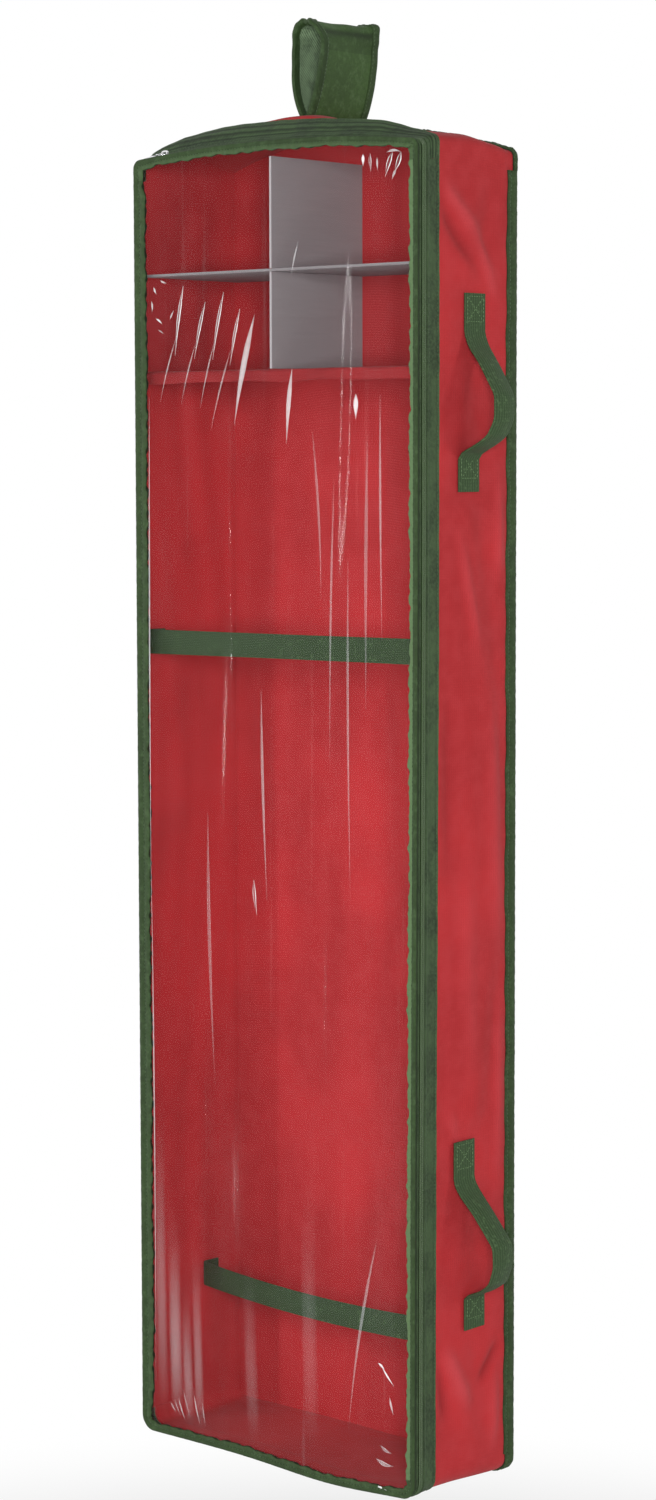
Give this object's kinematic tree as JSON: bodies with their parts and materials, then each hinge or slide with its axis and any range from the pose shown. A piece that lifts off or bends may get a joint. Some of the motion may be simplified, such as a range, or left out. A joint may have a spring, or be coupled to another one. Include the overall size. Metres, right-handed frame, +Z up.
{
  "type": "hanging gift wrap organizer",
  "caption": "Tall hanging fabric bag with a zipped clear front, cubbies over a shelf, elastic straps across a roll bay, side handles and a loop for a rod.",
  "frame": {"origin": "where the rod bears in the hanging loop, on the loop's inner face", "axes": "+X along the bag's width to the side with the handles, -Y out of the clear front, +Z up"},
  "size_m": [0.3238, 0.12, 1.1429],
  "materials": {
    "red_fabric": "matte non-woven",
    "green_binding": "folded bias binding",
    "green_tape": "twill tape",
    "green_coil": "nylon coil",
    "green_elastic": "ribbed elastic",
    "green_webbing": "woven webbing",
    "clear_vinyl": "clear glossy film",
    "grey_board": "grey chipboard",
    "bright_metal": "bright plated metal"
  },
  "bodies": {
    "hanging_loop": {"loop_strap": "green_binding", "loop_lining": "green_tape", "loop_binding_front": "green_binding", "loop_binding_back": "green_binding"},
    "bag": {"back_panel": "red_fabric", "left_panel": "red_fabric", "right_panel": "red_fabric", "top_panel": "red_fabric", "bottom_panel": "red_fabric", "back_binding_left": "green_binding", "back_binding_right": "green_binding", "back_binding_top": "green_binding", "back_binding_bottom": "green_binding", "hinge_binding": "green_binding", "body_zip_tape_top": "green_tape", "body_zip_tape_right": "green_tape", "body_zip_tape_bottom": "green_tape", "body_zip_coil": "green_coil", "upper_handle_top_patch": "green_webbing", "upper_handle_bottom_patch": "green_webbing", "lower_handle_top_patch": "green_webbing", "lower_handle_bottom_patch": "green_webbing", "divider": "grey_board", "mid_shelf": "grey_board", "lower_shelf_board": "grey_board", "lower_shelf_sleeve": "red_fabric", "upper_elastic": "green_elastic", "lower_elastic": "green_elastic"},
    "cover": {"cover_window": "clear_vinyl", "cover_binding_left": "green_binding", "cover_binding_top": "green_binding", "cover_binding_right": "green_binding", "cover_binding_bottom": "green_binding", "cover_zip_tape_top": "green_tape", "cover_zip_tape_right": "green_tape", "cover_zip_tape_bottom": "green_tape", "cover_zip_coil": "green_coil"},
    "slider": {"zip_slider": "bright_metal"},
    "pull": {"pull_link": "bright_metal", "pull_tab": "bright_metal"},
    "upper_handle": {"upper_handle_loop": "green_webbing"},
    "lower_handle": {"lower_handle_loop": "green_webbing"}
  },
  "joints": [
    {"name": "bag_swing", "type": "hinge", "parent": "hanging_loop", "child": "bag", "pos_m": [0, 0, -0.06955], "axis": [0, 1, 0], "range_deg": [-50, 50]},
    {"name": "cover_hinge", "type": "hinge", "parent": "bag", "child": "cover", "pos_m": [-0.145, -0.073, -0.619], "axis": [0, 0, -1], "range_deg": [0, 170]},
    {"name": "slider_travel", "type": "hinge", "parent": "bag", "child": "slider", "pos_m": [0, -0.06375, -1.40906], "axis": [0, 1, 0], "range_deg": [0, 10.6]},
    {"name": "pull_flip", "type": "hinge", "parent": "slider", "child": "pull", "pos_m": [-0.12224, -0.06375, -0.09412], "axis": [0, 1, 0], "range_deg": [0, 172]},
    {"name": "upper_handle_swing", "type": "hinge", "parent": "bag", "child": "upper_handle", "pos_m": [0.1537, -0.009, -0.294], "axis": [0, 0, 1], "range_deg": [-20, 20]},
    {"name": "lower_handle_swing", "type": "hinge", "parent": "bag", "child": "lower_handle", "pos_m": [0.1546, -0.009, -0.949], "axis": [0, 0, 1], "range_deg": [-20, 20]}
  ]
}
